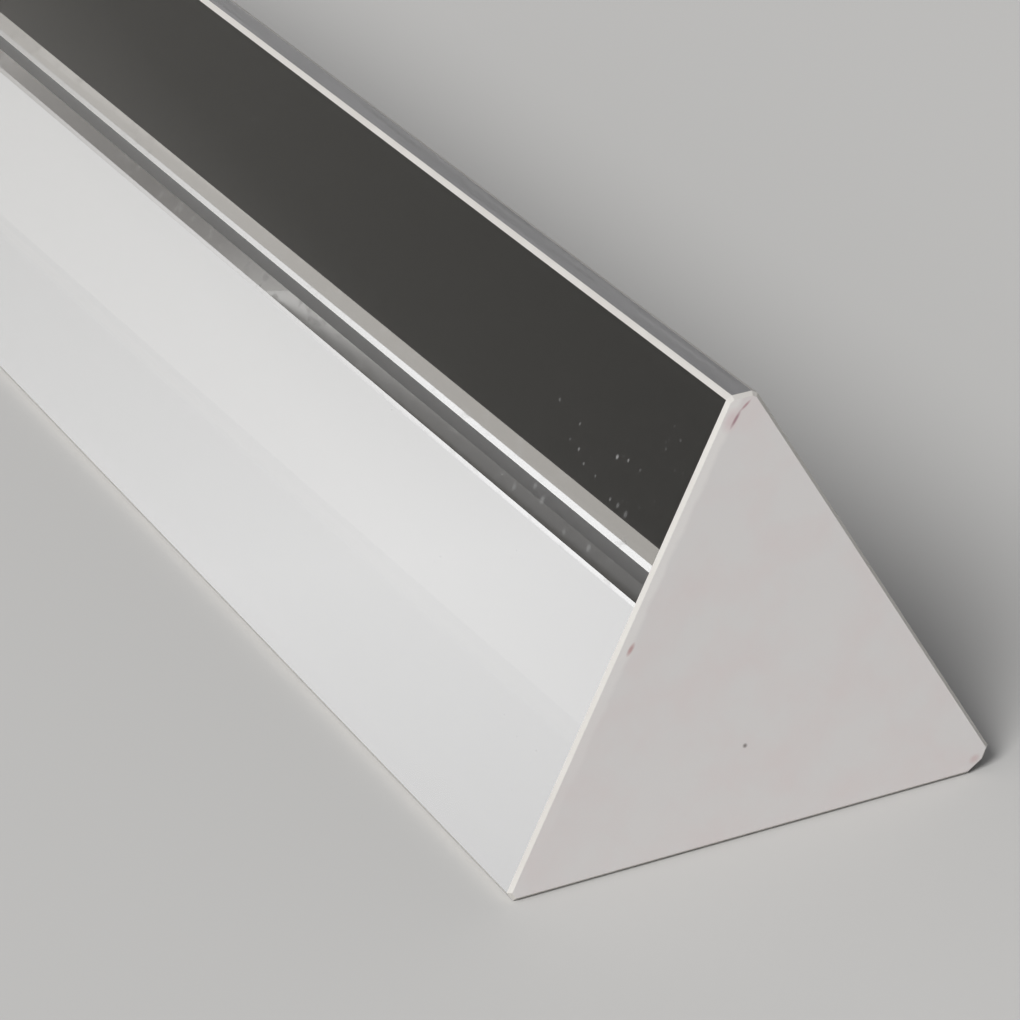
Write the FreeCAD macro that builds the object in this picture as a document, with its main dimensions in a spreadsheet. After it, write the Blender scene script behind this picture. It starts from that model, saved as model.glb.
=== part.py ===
import FreeCAD, Part
import Sketcher
import math
import os

# Triangular prism: one solid bar of optical glass with an almost equilateral section.
# It lies on one of its long faces, with its length along Y and its ridge at the top.
# The origin is the middle of the bottom face, halfway between the two sharp corners
# that the facets and bevels take off.

doc = FreeCAD.newDocument("TriangularPrism")

# Driving sizes in millimetres
sizes = doc.addObject("Spreadsheet::Sheet", "Sizes")
drivingSizes = {
    "baseWidth": 30.0,         # bottom side of the triangle, measured to its sharp corners
    "sideWidth": 31.0,         # either of the upper sides, so that the ridge angle is 58 degrees
    "barLength": 150.0,        # from one end face to the other
    "ridgeBevel": 1.65,        # ground flat along the ridge, taken off each face
    "lowFacetStart": 2.05,     # two facets replace the +X corner: where they start on the bottom
    "highFacetEnd": 1.55,      # where they end on the +X side, also measured from that corner
    "facetBorderIn": 1.1,      # the border between them, inward from that corner
    "facetBorderHeight": 0.62,  # and its height above the bottom
    "leftEdgeBevel": 0.65,     # the bottom edge on the -X side has only a fine bevel
    "endBevel": 0.2,           # fine bevel around both ground end faces
}
for row, (name, value) in enumerate(drivingSizes.items(), start=1):
    sizes.set(f"A{row}", name)
    sizes.set(f"B{row}", str(value))
    sizes.setAlias(f"B{row}", name)
doc.recompute()


def originPlane(body, role):
    """The plane of a body's own origin that has the given role."""
    return next(feature for feature in body.Origin.OriginFeatures if feature.Role == role)


def drawTriangle(sketch):
    """Construction triangle with two equal upper sides, standing on X over the origin."""
    halfBase = sizes.baseWidth / 2
    left = FreeCAD.Vector(-halfBase, 0, 0)
    right = FreeCAD.Vector(halfBase, 0, 0)
    top = FreeCAD.Vector(0, math.sqrt(sizes.sideWidth ** 2 - halfBase ** 2), 0)
    start, end = 1, 2
    originPoint = -1, 1
    base = sketch.addGeometry(Part.LineSegment(left, right), True)
    rightSide = sketch.addGeometry(Part.LineSegment(right, top), True)
    leftSide = sketch.addGeometry(Part.LineSegment(top, left), True)
    sketch.addConstraint([
        Sketcher.Constraint("Coincident", base, end, rightSide, start),
        Sketcher.Constraint("Coincident", rightSide, end, leftSide, start),
        Sketcher.Constraint("Coincident", leftSide, end, base, start),
        Sketcher.Constraint("Horizontal", base),
        Sketcher.Constraint("Symmetric", base, start, base, end, *originPoint),
        Sketcher.Constraint("Equal", rightSide, leftSide),
    ])
    driveSize(sketch, "baseWidth", "Distance", base)
    driveSize(sketch, "sideWidth", "Distance", rightSide)
    return base, rightSide


def driveSize(sketch, sizeName, kind, *geometry):
    """Adds a length to a sketch and ties it to the driving size of the same name."""
    length = Sketcher.Constraint(kind, *geometry, getattr(sizes, sizeName))
    number = sketch.addConstraint(length)
    sketch.renameConstraint(number, sizeName)
    sketch.setExpression(f"Constraints.{sizeName}", f"Sizes.{sizeName}")


def drawSection(body):
    """The bar's section: that triangle, with two facets in place of its right bottom corner."""
    sketch = body.newObject("Sketcher::SketchObject", "Section")
    sketch.AttachmentSupport = [(originPlane(body, "XZ_Plane"), "")]
    sketch.MapMode = "FlatFace"
    base, rightSide = drawTriangle(sketch)
    start, end = 1, 2
    left, corner = sketch.getPoint(base, start), sketch.getPoint(base, end)
    top = sketch.getPoint(rightSide, end)
    upward = (top - corner).normalize()
    lowEnd = FreeCAD.Vector(corner.x - sizes.lowFacetStart, 0, 0)
    border = FreeCAD.Vector(corner.x - sizes.facetBorderIn, sizes.facetBorderHeight, 0)
    highEnd = corner + upward * sizes.highFacetEnd
    points = [left, lowEnd, border, highEnd, top]
    sides = [
        sketch.addGeometry(Part.LineSegment(point, points[(number + 1) % len(points)]), False)
        for number, point in enumerate(points)
    ]
    bottom, lowFacet, highFacet, right = sides[:-1]
    for number, side in enumerate(sides):
        before = sides[number - 1]
        sketch.addConstraint(Sketcher.Constraint("Coincident", before, end, side, start))
    sketch.addConstraint([
        Sketcher.Constraint("Coincident", bottom, start, base, start),
        Sketcher.Constraint("Coincident", right, end, rightSide, end),
        Sketcher.Constraint("PointOnObject", lowFacet, start, base),
        Sketcher.Constraint("PointOnObject", highFacet, end, rightSide),
    ])
    driveSize(sketch, "lowFacetStart", "Distance", lowFacet, start, base, end)
    driveSize(sketch, "highFacetEnd", "Distance", highFacet, end, base, end)
    driveSize(sketch, "facetBorderIn", "DistanceX", highFacet, start, base, end)
    driveSize(sketch, "facetBorderHeight", "DistanceY", base, end, highFacet, start)
    return sketch


def padSection(body, sketch):
    """The bar, drawn out of its section by half its length to the front and to the back."""
    bar = body.newObject("PartDesign::Pad", "Bar")
    bar.Profile = sketch
    bar.SideType = "Symmetric"
    bar.setExpression("Length", "Sizes.barLength")
    doc.recompute()
    return bar


def runsLengthwise(edge):
    """True for an edge with one end in the front half of the bar and one in the back half."""
    return edge.Vertexes[0].Point.y * edge.Vertexes[-1].Point.y < 0


def furthestLongEdge(shape, direction):
    """Name of the long edge that lies furthest in a direction, as a list of one."""
    reach = {
        f"Edge{number}": edge.CenterOfMass.dot(direction)
        for number, edge in enumerate(shape.Edges, start=1) if runsLengthwise(edge)
    }
    return [max(reach, key=reach.get)]


def endFaceEdges(shape):
    """Names of all the edges that bound the two end faces."""
    return [
        f"Edge{number}" for number, edge in enumerate(shape.Edges, start=1)
        if not runsLengthwise(edge)
    ]


def bevelEdges(body, name, base, edges, sizeName):
    """Flat bevel along some edges, which takes the same width off both faces."""
    bevel = body.newObject("PartDesign::Chamfer", name)
    bevel.Base = (base, edges)
    bevel.setExpression("Size", f"Sizes.{sizeName}")
    doc.recompute()
    return bevel


def makePrism():
    """The whole prism: a drawn bar, then the bevels of its other two long edges and its ends."""
    body = doc.addObject("PartDesign::Body", "Prism")
    body.Label = "prism"
    up = FreeCAD.Vector(0, 0, 1)
    leftward = FreeCAD.Vector(-1, 0, 0)

    # Each edge is looked up on the solid that the step before it left
    bar = padSection(body, drawSection(body))
    ridge = bevelEdges(
        body, "RidgeBevel", bar, furthestLongEdge(bar.Shape, up), "ridgeBevel"
    )
    leftEdge = bevelEdges(
        body, "LeftEdgeBevel", ridge, furthestLongEdge(ridge.Shape, leftward), "leftEdgeBevel"
    )
    ends = bevelEdges(body, "EndBevels", leftEdge, endFaceEdges(leftEdge.Shape), "endBevel")
    body.Tip = ends
    body.Placement = FreeCAD.Placement()
    doc.recompute()
    return body


def checkDocument(parts):
    """Stops the build if an object failed, the sketch is loose or a part isn't a sound solid."""
    for item in doc.Objects:
        if "Invalid" in item.State or "Error" in item.State:
            raise RuntimeError(f"{item.Name} failed: {item.State}")
        if item.TypeId == "Sketcher::SketchObject" and not item.FullyConstrained:
            raise RuntimeError(f"{item.Name} isn't fully constrained")
    for part in parts:
        shape = part.Shape
        if shape.isNull() or not shape.isValid() or len(shape.Solids) != 1:
            raise RuntimeError(f"{part.Label} isn't one sound solid")


parts = [makePrism()]
checkDocument(parts)
os.makedirs("parts", exist_ok=True)
for part in parts:
    part.Shape.exportStep(f"parts/{part.Label}.step")
    box = part.Shape.BoundBox
    print(part.Label, "volume", round(part.Shape.Volume, 1), "faces", len(part.Shape.Faces))
    print("from", [round(v, 3) for v in (box.XMin, box.YMin, box.ZMin)])
    print("to", [round(v, 3) for v in (box.XMax, box.YMax, box.ZMax)])
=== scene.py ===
import math

import bmesh
import bpy
from mathutils import Matrix, Vector


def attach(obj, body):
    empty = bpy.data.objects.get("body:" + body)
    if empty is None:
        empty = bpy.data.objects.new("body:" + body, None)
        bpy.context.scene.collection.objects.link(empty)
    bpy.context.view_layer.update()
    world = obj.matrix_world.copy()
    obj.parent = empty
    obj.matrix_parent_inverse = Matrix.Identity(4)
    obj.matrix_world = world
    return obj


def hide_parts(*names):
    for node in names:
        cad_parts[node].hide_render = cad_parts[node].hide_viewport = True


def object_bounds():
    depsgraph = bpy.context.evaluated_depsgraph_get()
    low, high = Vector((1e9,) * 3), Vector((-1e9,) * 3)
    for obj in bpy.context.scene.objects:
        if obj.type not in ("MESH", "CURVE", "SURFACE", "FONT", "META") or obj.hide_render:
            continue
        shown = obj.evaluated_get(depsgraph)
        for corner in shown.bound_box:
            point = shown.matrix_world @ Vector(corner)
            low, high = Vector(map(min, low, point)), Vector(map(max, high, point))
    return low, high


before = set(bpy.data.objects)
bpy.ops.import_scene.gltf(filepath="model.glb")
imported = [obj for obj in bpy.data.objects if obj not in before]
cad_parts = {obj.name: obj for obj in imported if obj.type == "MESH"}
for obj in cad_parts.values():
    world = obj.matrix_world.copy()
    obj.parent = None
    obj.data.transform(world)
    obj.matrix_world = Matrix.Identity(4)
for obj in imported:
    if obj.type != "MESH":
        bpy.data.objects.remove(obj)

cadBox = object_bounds()
mm = 0.001

# Small helpers


def linearColour(hexColour, alpha=1.0):
    # sRGB hex to the linear values that sockets take
    channels = [int(hexColour[i:i + 2], 16) / 255 for i in (1, 3, 5)]
    linear = [c / 12.92 if c <= 0.04045 else ((c + 0.055) / 1.055) ** 2.4 for c in channels]
    return (*linear, alpha)


def addNode(tree, kind, inputs=None, **settings):
    # one node with its settings, its input values and its links
    node = tree.nodes.new(kind)
    for name, value in settings.items():
        setattr(node, name, value)
    for name, value in (inputs or {}).items():
        if isinstance(value, bpy.types.NodeSocket):
            tree.links.new(value, node.inputs[name])
        else:
            node.inputs[name].default_value = value
    return node


def newMaterial(name):
    material = bpy.data.materials.new(name)
    material.use_nodes = True
    material.node_tree.nodes.clear()
    return material, material.node_tree


def selectEdges(mesh, test):
    # in edit mode: only the edges whose two ends both pass
    bpy.ops.mesh.select_all(action="DESELECT")
    edit = bmesh.from_edit_mesh(mesh)
    for edge in edit.edges:
        if all(test(v.co) for v in edge.verts):
            edge.select_set(True)
    bmesh.update_edit_mesh(mesh)


def cutAway(point, along):
    # one flat cut through the whole bar: what lies to the right of the way that it runs goes
    outward = Vector((along[1], 0, -along[0]))
    bpy.ops.mesh.select_all(action="SELECT")
    bpy.ops.mesh.bisect(
        plane_co=(point[0], 0, point[1]),
        plane_no=outward.normalized(),
        use_fill=True,
        clear_outer=True,
    )


# The prism bar: a block that is cut down plane by plane, as the glass is ground

prismBar = {
    "baseWidth": 30.0 * mm,     # to the sharp corners, before they are ground off
    "sideWidth": 31.0 * mm,
    "ridgeBevel": 1.65 * mm,
    "facetPoints": [            # right bottom edge, inward from its corner and up
        (2.05 * mm, 0.0),
        (1.1 * mm, 0.62 * mm),
    ],
    "facetsEnd": 1.55 * mm,     # up the right side
    "leftEdgeBevel": 0.65 * mm,
    "endBevel": 0.2 * mm,
    "ridgeBorder": 0.22 * mm,   # the fine bevel that shows as a white line beside the ridge
}

boxLow, boxHigh = Vector(cadBox[0]), Vector(cadBox[1])
barLength = boxHigh.y - boxLow.y
halfBase = prismBar["baseWidth"] / 2
topHeight = math.sqrt(prismBar["sideWidth"] ** 2 - halfBase ** 2)
sideUp = Vector((-halfBase, topHeight)).normalized()  # up the right side, in X and Z
touch = 0.02 * mm          # how near a point has to lie to count as being in a plane
mergeReach = 0.001 * mm    # points nearer than this are one
print("bar", round(2 * halfBase / mm, 2), "mm base,", round(barLength / mm, 2), "mm long")

bpy.ops.object.select_all(action="DESELECT")
bpy.ops.mesh.primitive_cube_add(size=1, location=(0, 0, topHeight / 2))
bar = bpy.context.object
bar.name = "prism_bar"
bar.data.name = "prism_bar"
bar.scale = (2 * halfBase, barLength, topHeight)
bpy.ops.object.transform_apply(location=True, rotation=True, scale=True)

bpy.ops.object.mode_set(mode="EDIT")
bpy.ops.mesh.select_mode(type="EDGE")

# the two upper sides, the ridge and the narrow bevel of the left bottom edge
cutAway((halfBase, 0), sideUp)
cutAway((-halfBase, 0), (-halfBase, -topHeight))
ridgeHeight = topHeight - prismBar["ridgeBevel"] * sideUp.y
cutAway((0, ridgeHeight), (-1, 0))
leftBevel = prismBar["leftEdgeBevel"]
leftTop = Vector((-halfBase - sideUp.x * leftBevel, sideUp.y * leftBevel))
leftLow = Vector((-halfBase + leftBevel, 0))
cutAway(leftLow, leftLow - leftTop)

# the facets of the right bottom edge
facetCorners = [Vector((halfBase - inward, up)) for inward, up in prismBar["facetPoints"]]
facetCorners.append(Vector((halfBase, 0)) + sideUp * prismBar["facetsEnd"])
for lower, upper in zip(facetCorners, facetCorners[1:]):
    cutAway(lower, upper - lower)

# the two borders of the ridge facet are broken with a fine bevel
bpy.ops.mesh.select_all(action="SELECT")
bpy.ops.mesh.remove_doubles(threshold=mergeReach)
halfRidge = prismBar["ridgeBevel"] * halfBase / prismBar["sideWidth"]
for side in (-1, 1):
    selectEdges(
        bar.data,
        lambda p: abs(p.z - ridgeHeight) < touch and abs(p.x - side * halfRidge) < touch,
    )
    bpy.ops.mesh.bevel(offset=prismBar["ridgeBorder"], segments=1, affect="EDGES")

# both ends are bevelled all round
for end in (-1, 1):
    endPlace = end * barLength / 2
    selectEdges(bar.data, lambda p: abs(p.y - endPlace) < touch)
    bpy.ops.mesh.bevel(offset=prismBar["endBevel"], segments=1, affect="EDGES")
bpy.ops.mesh.select_all(action="SELECT")
bpy.ops.mesh.normals_make_consistent(inside=False)
bpy.ops.object.mode_set(mode="OBJECT")
print("bar mesh", len(bar.data.vertices), "points", len(bar.data.polygons), "faces")

# Materials

glassFinish = {
    "ior": 1.517,                # optical crown
    "dustSpacing": 0.714 * mm,
    "dustPatch": 11.1 * mm,
    "scuffSize": 1.43 * mm,
    "cloudSize": 2.86 * mm,
    "grindGrain": 0.167 * mm,    # real grit is far finer and wouldn't show
    "grindDepth": 0.02 * mm,
    "polishStreak": 0.333 * mm,
    "borderFull": 0.64 * mm,     # painted highlight along the left edge of the ends: how far in it stays full
    "borderGone": 0.88 * mm,     # and where it stops
    "borderRagged": 0.7 * mm,    # the noise that its line wanders by
    "borderRagSize": 2.0 * mm,
    "borderLow": 2.0 * mm,       # it fades out between these heights
    "borderHigh": 16.0 * mm,
}

# Dust on the left long face and stains on the front end, all in millimetres
dustSpecks = [  # from the front end, height, radius and how white it is
    (7.3, 20.2, 0.17, 0.42), (6.2, 20.4, 0.13, 0.30), (11.9, 20.3, 0.13, 0.18),
    (11.0, 19.3, 0.15, 0.24), (10.0, 18.9, 0.12, 0.22), (8.5, 18.8, 0.11, 0.20),
    (6.3, 18.4, 0.15, 0.18), (5.4, 18.4, 0.20, 0.16), (4.4, 18.3, 0.24, 0.15),
    (12.2, 19.4, 0.13, 0.13), (4.8, 20.4, 0.12, 0.13), (14.7, 20.6, 0.15, 0.14),
    (2.5, 22.7, 0.12, 0.12), (12.3, 16.2, 0.30, 0.20), (13.5, 16.5, 0.24, 0.17),
    (6.3, 15.9, 0.26, 0.20), (9.1, 15.7, 0.22, 0.14), (15.4, 15.8, 0.28, 0.15),
]
endStains = [  # along X, height, half sizes, turn from +X upwards in degrees, colour
    (-0.75, 24.4, 0.85, 0.55, 58, "#E2D5D5"),   # pink tinge below the ridge
    (0.1, 25.05, 0.46, 0.1, 38, "#BE9DA2"),     # and the streak across it, in two strokes
    (-0.5, 24.4, 0.66, 0.12, 55, "#B08F96"),
    (-7.0, 12.9, 0.48, 0.17, 55, "#C8A9A8"),    # smear by the left edge
    (-0.6, 5.5, 0.17, 0.17, 0, "#8F8885"),      # one dark grain
    (13.3, 0.85, 0.42, 0.3, 20, "#D6C6C5"),     # and a stain by the right bottom corner
]


def ovalMask(tree, place, middle, halfSizes, turn):
    # an oval mark: 1 in its core, falling to 0 at the rim
    oval = addNode(
        tree, "ShaderNodeMapping",
        {"Vector": place.outputs["Object"], "Location": middle, "Scale": halfSizes,
         "Rotation": (0, -math.radians(turn), 0)},
        vector_type="TEXTURE",
    )
    reach = addNode(
        tree, "ShaderNodeVectorMath", {0: oval.outputs["Vector"]}, operation="LENGTH"
    )
    return addNode(
        tree, "ShaderNodeMapRange",
        {"Value": reach.outputs["Value"], "From Min": 0.3, "To Min": 1.0, "To Max": 0.0},
    )


def polishedGlass():
    # polished crown glass: clear, so that its inner faces mirror the room, with a little dust
    # and some whitish specks near the front end
    material, tree = newMaterial("polished_crown_glass")
    place = addNode(tree, "ShaderNodeTexCoord")
    dust = addNode(
        tree, "ShaderNodeTexVoronoi",
        {"Vector": place.outputs["Object"], "Scale": 1 / glassFinish["dustSpacing"]},
    )
    grain = addNode(
        tree, "ShaderNodeMapRange",
        {"Value": dust.outputs["Distance"], "From Min": 0.05, "From Max": 0.15,
         "To Min": 0.12, "To Max": 0.0},
    )
    where = addNode(
        tree, "ShaderNodeTexNoise",
        {"Vector": place.outputs["Object"], "Scale": 1 / glassFinish["dustPatch"], "Detail": 3.0},
    )
    patch = addNode(
        tree, "ShaderNodeMapRange",
        {"Value": where.outputs["Fac"], "From Min": 0.5, "From Max": 0.7},
    )
    dirt = addNode(
        tree, "ShaderNodeMath",
        {0: grain.outputs["Result"], 1: patch.outputs["Result"]}, operation="MULTIPLY",
    )
    for fromFront, height, radius, white in dustSpecks:
        across = -halfBase + height * mm * halfBase / topHeight
        middle = (across, boxLow.y + fromFront * mm, height * mm)
        away = addNode(
            tree, "ShaderNodeVectorMath", {0: place.outputs["Object"], 1: middle},
            operation="DISTANCE",
        )
        speck = addNode(
            tree, "ShaderNodeMapRange",
            {"Value": away.outputs["Value"], "From Min": 0.3 * radius * mm,
             "From Max": radius * mm, "To Min": white, "To Max": 0.0},
        )
        dirt = addNode(
            tree, "ShaderNodeMath",
            {0: dirt.outputs["Value"], 1: speck.outputs["Result"]}, operation="MAXIMUM",
        )
    clear = addNode(
        tree, "ShaderNodeMapRange",
        {"Value": dirt.outputs["Value"], "To Min": 0.997, "To Max": 0.5},
    )
    shader = addNode(
        tree, "ShaderNodeBsdfPrincipled",
        {"Base Color": linearColour("#FBFBFB"), "Roughness": 0.0, "IOR": glassFinish["ior"],
         "Transmission Weight": clear.outputs["Result"]},
    )
    addNode(tree, "ShaderNodeOutputMaterial", {"Surface": shader.outputs["BSDF"]})
    return material


def facetGlass():
    # the two facets of the right bottom edge: polished, but hazy in patches from wear, which
    # softens the bands that they give inside the bar
    material, tree = newMaterial("hazy_polished_glass")
    place = addNode(tree, "ShaderNodeTexCoord")
    scuff = addNode(
        tree, "ShaderNodeTexNoise",
        {"Vector": place.outputs["Object"], "Scale": 1 / glassFinish["scuffSize"], "Detail": 4.0},
    )
    haze = addNode(
        tree, "ShaderNodeMapRange",
        {"Value": scuff.outputs["Fac"], "From Min": 0.5, "From Max": 0.75, "To Max": 0.16},
    )
    shader = addNode(
        tree, "ShaderNodeBsdfPrincipled",
        {"Base Color": linearColour("#FBFBFB"), "Roughness": haze.outputs["Result"],
         "IOR": glassFinish["ior"], "Transmission Weight": 1.0},
    )
    addNode(tree, "ShaderNodeOutputMaterial", {"Surface": shader.outputs["BSDF"]})
    return material


def paintedEdgeHighlight(tree, place):
    # painted highlight: a ragged lighter border along the left side of the end faces, where that
    # edge shows bright, widest near the ridge
    inward = addNode(
        tree, "ShaderNodeVectorMath",
        {0: place.outputs["Object"], 1: (sideUp.y, 0, sideUp.x)}, operation="DOT_PRODUCT",
    )
    ragged = addNode(
        tree, "ShaderNodeTexNoise",
        {"Vector": place.outputs["Object"], "Scale": 1 / glassFinish["borderRagSize"],
         "Detail": 3.0},
    )
    depth = addNode(
        tree, "ShaderNodeMath",
        {0: ragged.outputs["Fac"], 1: glassFinish["borderRagged"], 2: inward.outputs["Value"]},
        operation="MULTIPLY_ADD",
    )
    # where the left face lies along that direction, and what the noise adds on average
    sideReach = -halfBase * sideUp.y + glassFinish["borderRagged"] / 2
    band = addNode(
        tree, "ShaderNodeMapRange",
        {"Value": depth.outputs["Value"], "From Min": sideReach + glassFinish["borderFull"],
         "From Max": sideReach + glassFinish["borderGone"], "To Min": 1.0, "To Max": 0.0},
    )
    height = addNode(tree, "ShaderNodeSeparateXYZ", {"Vector": place.outputs["Object"]})
    fade = addNode(
        tree, "ShaderNodeMapRange",
        {"Value": height.outputs["Z"], "From Min": glassFinish["borderLow"],
         "From Max": glassFinish["borderHigh"]},
    )
    return addNode(
        tree, "ShaderNodeMath",
        {0: band.outputs["Result"], 1: fade.outputs["Result"]}, operation="MULTIPLY",
    )


def groundGlass(name, colour, blotch, through, stainsAndPaintedHighlight=False):
    # fine-ground glass: matte, pale and cloudy, and it glows a little with light from behind
    material, tree = newMaterial(name)
    place = addNode(tree, "ShaderNodeTexCoord")
    cloud = addNode(
        tree, "ShaderNodeTexNoise",
        {"Vector": place.outputs["Object"], "Scale": 1 / glassFinish["cloudSize"], "Detail": 4.0},
    )
    tone = addNode(
        tree, "ShaderNodeMapRange",
        {"Value": cloud.outputs["Fac"], "From Min": 0.4, "From Max": 0.7},
    )
    tint = addNode(
        tree, "ShaderNodeMix",
        {0: tone.outputs["Result"], 6: linearColour(colour), 7: linearColour(blotch)},
        data_type="RGBA",
    )
    if stainsAndPaintedHighlight:
        # on the end faces: a painted highlight along the left edge, with the real stains laid over
        # it
        paintedHighlight = paintedEdgeHighlight(tree, place)
        tint = addNode(
            tree, "ShaderNodeMix",
            {0: paintedHighlight.outputs["Value"], 6: tint.outputs[2], 7: linearColour("#EBE8E6")},
            data_type="RGBA",
        )
        for across, height, halfLong, halfWide, turn, stain in endStains:
            middle = (across * mm, boxLow.y, height * mm)
            halfSizes = (halfLong * mm, mm, halfWide * mm)
            mark = ovalMask(tree, place, middle, halfSizes, turn)
            tint = addNode(
                tree, "ShaderNodeMix",
                {0: mark.outputs["Result"], 6: tint.outputs[2], 7: linearColour(stain)},
                data_type="RGBA",
            )
    grain = addNode(
        tree, "ShaderNodeTexNoise",
        {"Vector": place.outputs["Object"], "Scale": 1 / glassFinish["grindGrain"], "Detail": 2.0},
    )
    bump = addNode(
        tree, "ShaderNodeBump",
        {"Height": grain.outputs["Fac"], "Strength": 0.15, "Distance": glassFinish["grindDepth"]},
    )
    shader = addNode(
        tree, "ShaderNodeBsdfPrincipled",
        {"Base Color": tint.outputs[2], "Roughness": 0.55, "IOR": glassFinish["ior"],
         "Normal": bump.outputs["Normal"]},
    )
    glow = addNode(tree, "ShaderNodeBsdfTranslucent", {"Color": tint.outputs[2]})
    both = addNode(
        tree, "ShaderNodeMixShader",
        {0: through, 1: shader.outputs["BSDF"], 2: glow.outputs["BSDF"]},
    )
    addNode(tree, "ShaderNodeOutputMaterial", {"Surface": both.outputs["Shader"]})
    return material


def ridgeGlass():
    # the ridge facet: ground and then only half polished, so it is softly clear, with fine streaks
    # along the bar; its grey base colour is painted shade, for the dark inside of the bar it
    # scatters
    material, tree = newMaterial("half_polished_glass")
    place = addNode(tree, "ShaderNodeTexCoord")
    along = addNode(
        tree, "ShaderNodeMapping",
        {"Vector": place.outputs["Object"], "Scale": (1.0, 0.02, 1.0)},
    )
    streak = addNode(
        tree, "ShaderNodeTexNoise",
        {"Vector": along.outputs["Vector"], "Scale": 1 / glassFinish["polishStreak"],
         "Detail": 3.0},
    )
    clear = addNode(
        tree, "ShaderNodeMapRange",
        {"Value": streak.outputs["Fac"], "From Min": 0.3, "From Max": 0.7,
         "To Min": 0.97, "To Max": 0.82},
    )
    # grey base colour: painted shade
    shader = addNode(
        tree, "ShaderNodeBsdfPrincipled",
        {"Base Color": linearColour("#CCCACE"), "Roughness": 0.12, "IOR": glassFinish["ior"],
         "Transmission Weight": clear.outputs["Result"]},
    )
    addNode(tree, "ShaderNodeOutputMaterial", {"Surface": shader.outputs["BSDF"]})
    return material


finishes = {
    "polished": polishedGlass(),
    "facets": facetGlass(),
    "ends": groundGlass("ground_glass_end", "#E1DEDD", "#E1DAD9", 0.15, stainsAndPaintedHighlight=True),
    "bevels": groundGlass("ground_glass_bevel", "#E4E1DC", "#DEDAD5", 0.25),
    "ridge": ridgeGlass(),
}
for finish in finishes.values():
    bar.data.materials.append(finish)
print("finishes:", ", ".join(finishes))
slotOf = {name: index for index, name in enumerate(finishes)}

# each face takes its finish from the way that it faces
for face in bar.data.polygons:
    facing = face.normal
    if abs(facing.y) > 0.99:
        finish = "ends"
    elif abs(facing.y) > 0.5:
        finish = "bevels"  # round the ends
    elif facing.z > 0.99:
        finish = "ridge"
    elif facing.z > 0.6:
        finish = "bevels"  # beside the ridge
    elif facing.x < -0.5 and facing.z < 0:
        finish = "bevels"  # along the left bottom edge
    elif facing.x > 0.1 and facing.z < 0:
        finish = "facets"
    else:
        finish = "polished"
    face.material_index = slotOf[finish]

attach(bar, "root")
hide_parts("prism")
print("bar finished")

# Floor, light and camera

stage = {
    "floorColour": "#C6C5C3",
    "floorRadius": 6.0,
    "floorGap": 0.05 * mm,  # keeps the floor and the bottom face from lying in one plane
    "lampPlace": (-5.64, -3.96, 5.76),
    "lampSize": 3.6,
    "lampWatts": 690.0,
}

bpy.ops.object.select_all(action="DESELECT")
bpy.ops.mesh.primitive_circle_add(
    vertices=128, radius=stage["floorRadius"], fill_type="NGON",
    location=(0, 0, -stage["floorGap"]),
)
floor = bpy.context.object
floor.name = "floor"
# a smooth matte board: no shine, only the soft shadow of the bar
floorMaterial, tree = newMaterial("matte_pale_floor")
floorShader = addNode(
    tree, "ShaderNodeBsdfDiffuse", {"Color": linearColour(stage["floorColour"])}
)
addNode(tree, "ShaderNodeOutputMaterial", {"Surface": floorShader.outputs["BSDF"]})
floor.data.materials.append(floorMaterial)

# The studio's walls and ceiling, as colours by degrees above the horizon. A white cloth hangs
# to the left and in front, straight behind the bar the wall is bare, and to the right of that
# it has a pale panel.
leftSky = [
    (0, "#BEBBB7"), (3.3, "#B8B5B1"), (5, "#7A7874"), (7, "#7A7874"), (11, "#BDBAB5"),
    (14, "#B2AFAA"), (17.5, "#A8A5A0"), (20.6, "#FFFFFF"), (40, "#FFFFFF"), (50, "#A6A6A6"),
    (62, "#6E7076"),
]
backSky = [
    (0, "#BEBBB7"), (3.3, "#B8B5B1"), (6, "#8F8C88"), (18, "#8F8C88"), (25, "#A9A6A2"),
    (36, "#A9A6A2"), (50, "#8A8A8A"), (62, "#6E7076"),
]
rightSky = [
    (0, "#9C9B99"), (1.5, "#706F6E"), (3.5, "#565554"), (9, "#626160"), (14, "#B0AFAE"),
    (20, "#DADAD9"), (26, "#E6E6E6"), (34, "#CACACA"), (50, "#6A6D74"), (62, "#585B63"),
]
studioWalls = {
    "strength": 1.05,
    "backStarts": 0.2,     # the wall behind the bar, by how far a direction points along Y
    "backFull": 0.5,
    "clothEnds": -0.29,    # the cloth stops on the left of it, and the right wall starts on its
    "backFromLeft": -0.2,  # right, by how far a direction points along X
    "rightStarts": 0.12,
    "rightFull": 0.26,
    "asideStarts": 0.7,    # the right wall darkens on its way to the front, along Y again
    "asideFull": 0.4,
    "asideShade": 0.75,    # and loses this much of its strength
}
world = bpy.data.worlds.new("studio")
bpy.context.scene.world = world
world.use_nodes = True
tree = world.node_tree
tree.nodes.clear()
direction = addNode(tree, "ShaderNodeTexCoord")
parts = addNode(tree, "ShaderNodeSeparateXYZ", {"Vector": direction.outputs["Generated"]})


def skyRamp(steps):
    # a ramp over the sine of the height above the horizon
    ramp = addNode(tree, "ShaderNodeValToRGB", {"Fac": parts.outputs["Z"]})
    elements = ramp.color_ramp.elements
    while len(elements) > 1:
        elements.remove(elements[-1])
    elements[0].position = 0
    elements[0].color = linearColour(steps[0][1])
    for degrees, colour in steps[1:]:
        elements.new(math.sin(math.radians(degrees))).color = linearColour(colour)
    return ramp


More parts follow.
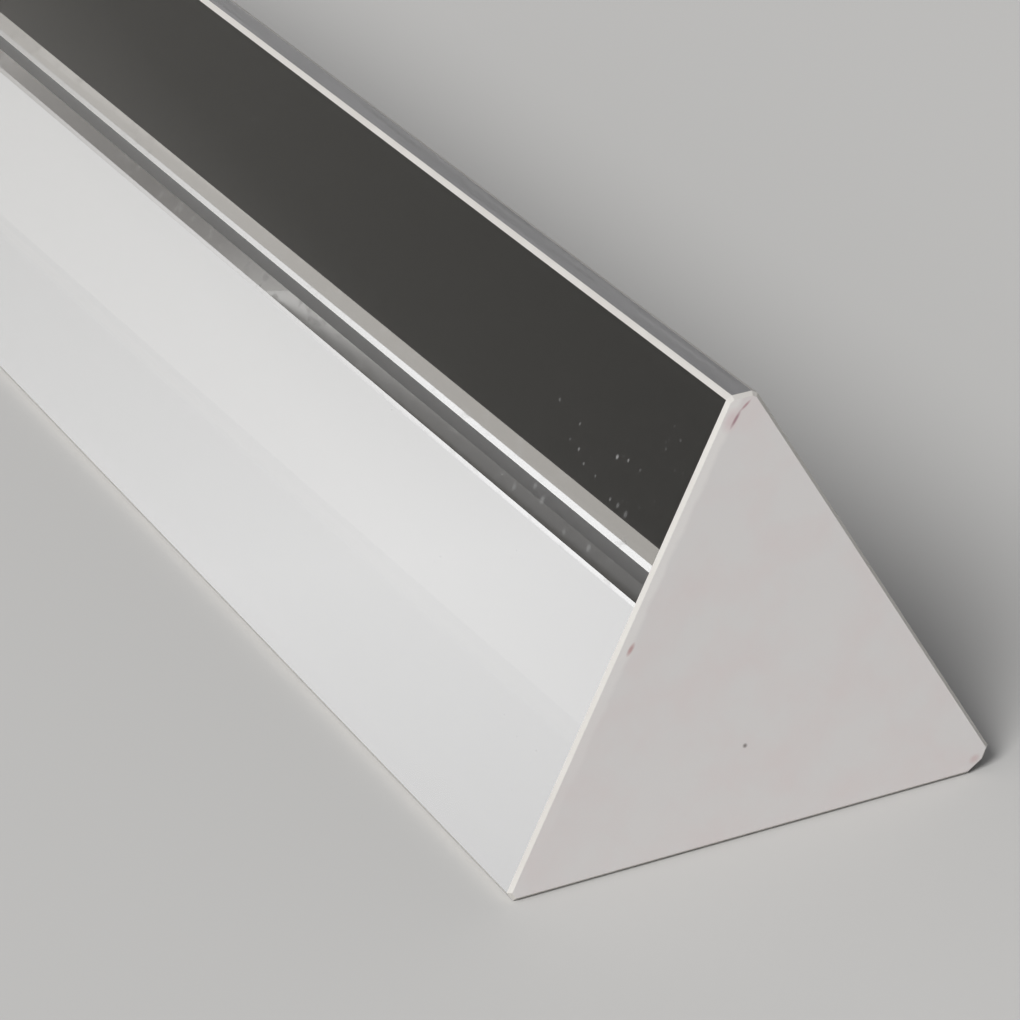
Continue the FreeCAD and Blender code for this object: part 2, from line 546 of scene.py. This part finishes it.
behind = addNode(
    tree, "ShaderNodeMapRange",
    {"Value": parts.outputs["Y"], "From Min": studioWalls["backStarts"],
     "From Max": studioWalls["backFull"]},
)
clothEnd = addNode(
    tree, "ShaderNodeMapRange",
    {"Value": parts.outputs["X"], "From Min": studioWalls["clothEnds"],
     "From Max": studioWalls["backFromLeft"]},
)
bare = addNode(
    tree, "ShaderNodeMath",
    {0: behind.outputs["Result"], 1: clothEnd.outputs["Result"]}, operation="MULTIPLY",
)
leftWalls = addNode(
    tree, "ShaderNodeMix",
    {0: bare.outputs["Value"], 6: skyRamp(leftSky).outputs["Color"],
     7: skyRamp(backSky).outputs["Color"]},
    data_type="RGBA",
)
rightWall = addNode(
    tree, "ShaderNodeMapRange",
    {"Value": parts.outputs["X"], "From Min": studioWalls["rightStarts"],
     "From Max": studioWalls["rightFull"]},
)
walls = addNode(
    tree, "ShaderNodeMix",
    {0: rightWall.outputs["Result"], 6: leftWalls.outputs[2],
     7: skyRamp(rightSky).outputs["Color"]},
    data_type="RGBA",
)
aside = addNode(
    tree, "ShaderNodeMapRange",
    {"Value": parts.outputs["Y"], "From Min": studioWalls["asideStarts"],
     "From Max": studioWalls["asideFull"], "To Max": studioWalls["asideShade"]},
)
shade = addNode(
    tree, "ShaderNodeMath",
    {0: rightWall.outputs["Result"], 1: aside.outputs["Result"]}, operation="MULTIPLY",
)
light = addNode(
    tree, "ShaderNodeMath",
    {0: studioWalls["strength"], 1: shade.outputs["Value"]}, operation="SUBTRACT",
)
sky = addNode(
    tree, "ShaderNodeBackground",
    {"Color": walls.outputs[2], "Strength": light.outputs["Value"]},
)
addNode(tree, "ShaderNodeOutputWorld", {"Surface": sky.outputs["Background"]})

print("walls finished")

# one large soft lamp to the left, in front and above
lampData = bpy.data.lights.new("softbox", "AREA")
lampData.shape = "DISK"
lampData.size = stage["lampSize"]
lampData.energy = stage["lampWatts"]
lamp = bpy.data.objects.new("softbox", lampData)
bpy.context.collection.objects.link(lamp)
lamp.location = stage["lampPlace"]
lamp.rotation_euler = (-lamp.location).to_track_quat("-Z", "Y").to_euler()
lamp.visible_camera = False

view = {
    "place": (-96.62 * mm, -265.51 * mm, 121.42 * mm),
    "turn": 23.614,  # degrees from +Y towards +X
    "down": 25.451,
    "roll": -3.29,
    "lens": 161.95,
}
turn, down = math.radians(view["turn"]), math.radians(view["down"])
forward = Vector(
    (math.sin(turn) * math.cos(down), math.cos(turn) * math.cos(down), -math.sin(down))
)
right = forward.cross(Vector((0, 0, 1))).normalized()
up = right.cross(forward)
frameTurn = Matrix((right, up, -forward)).transposed().to_4x4()
cameraData = bpy.data.cameras.new("camera")
cameraData.lens = view["lens"]
cameraData.sensor_width = 36
cameraData.clip_start = 0.01
cameraData.clip_end = 50
camera = bpy.data.objects.new("camera", cameraData)
bpy.context.collection.objects.link(camera)
camera.matrix_world = (
    Matrix.Translation(Vector(view["place"]))
    @ frameTurn
    @ Matrix.Rotation(math.radians(view["roll"]), 4, "Z")
)
bpy.context.scene.camera = camera

print("lamp and camera finished")

scene = bpy.context.scene
scene.view_settings.view_transform = "Standard"
# the bar throws a plain shadow, without bright patches of focused light
scene.cycles.caustics_refractive = False
scene.cycles.caustics_reflective = False
